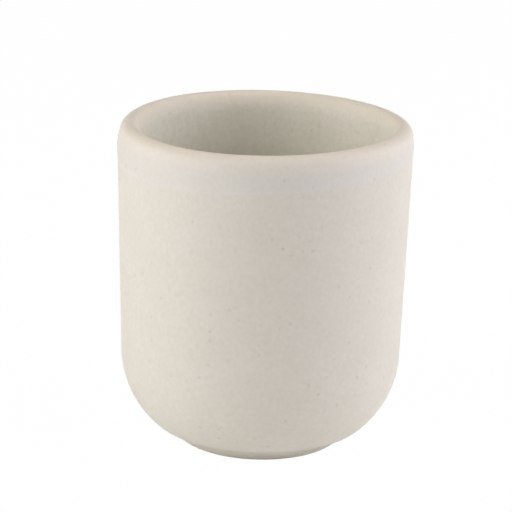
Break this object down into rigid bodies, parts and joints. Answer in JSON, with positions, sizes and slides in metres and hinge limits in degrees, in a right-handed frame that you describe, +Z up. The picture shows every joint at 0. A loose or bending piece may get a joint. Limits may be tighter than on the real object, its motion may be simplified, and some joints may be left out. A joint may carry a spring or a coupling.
{
  "type": "yunomi tea cup",
  "caption": "Handleless stoneware tea cup: tall, slightly tapered wall, round belly, small bare foot ring, satin off-white glaze with a paler dipped band at the lip.",
  "frame": {"origin": "centre of the foot ring's face, on the table", "axes": "+Z up along the cup's axis, +Y away from the picture's viewer, +X to the viewer's right"},
  "size_m": [0.08, 0.08, 0.0893],
  "materials": {
    "stoneware": "fired bare stoneware",
    "bare_foot": "sponged and turned bare stoneware",
    "liner_glaze": "satin off-white liner glaze",
    "satin_glaze": "satin off-white glaze, fine mottling and specks",
    "lip_glaze": "satin off-white glaze, second dip"
  },
  "bodies": {
    "root": {"clay_body": "stoneware", "foot_ring": "bare_foot", "liner_glaze": "liner_glaze", "outer_glaze": "satin_glaze", "lip_glaze": "lip_glaze", "base_glaze": "satin_glaze"}
  },
  "joints": []
}
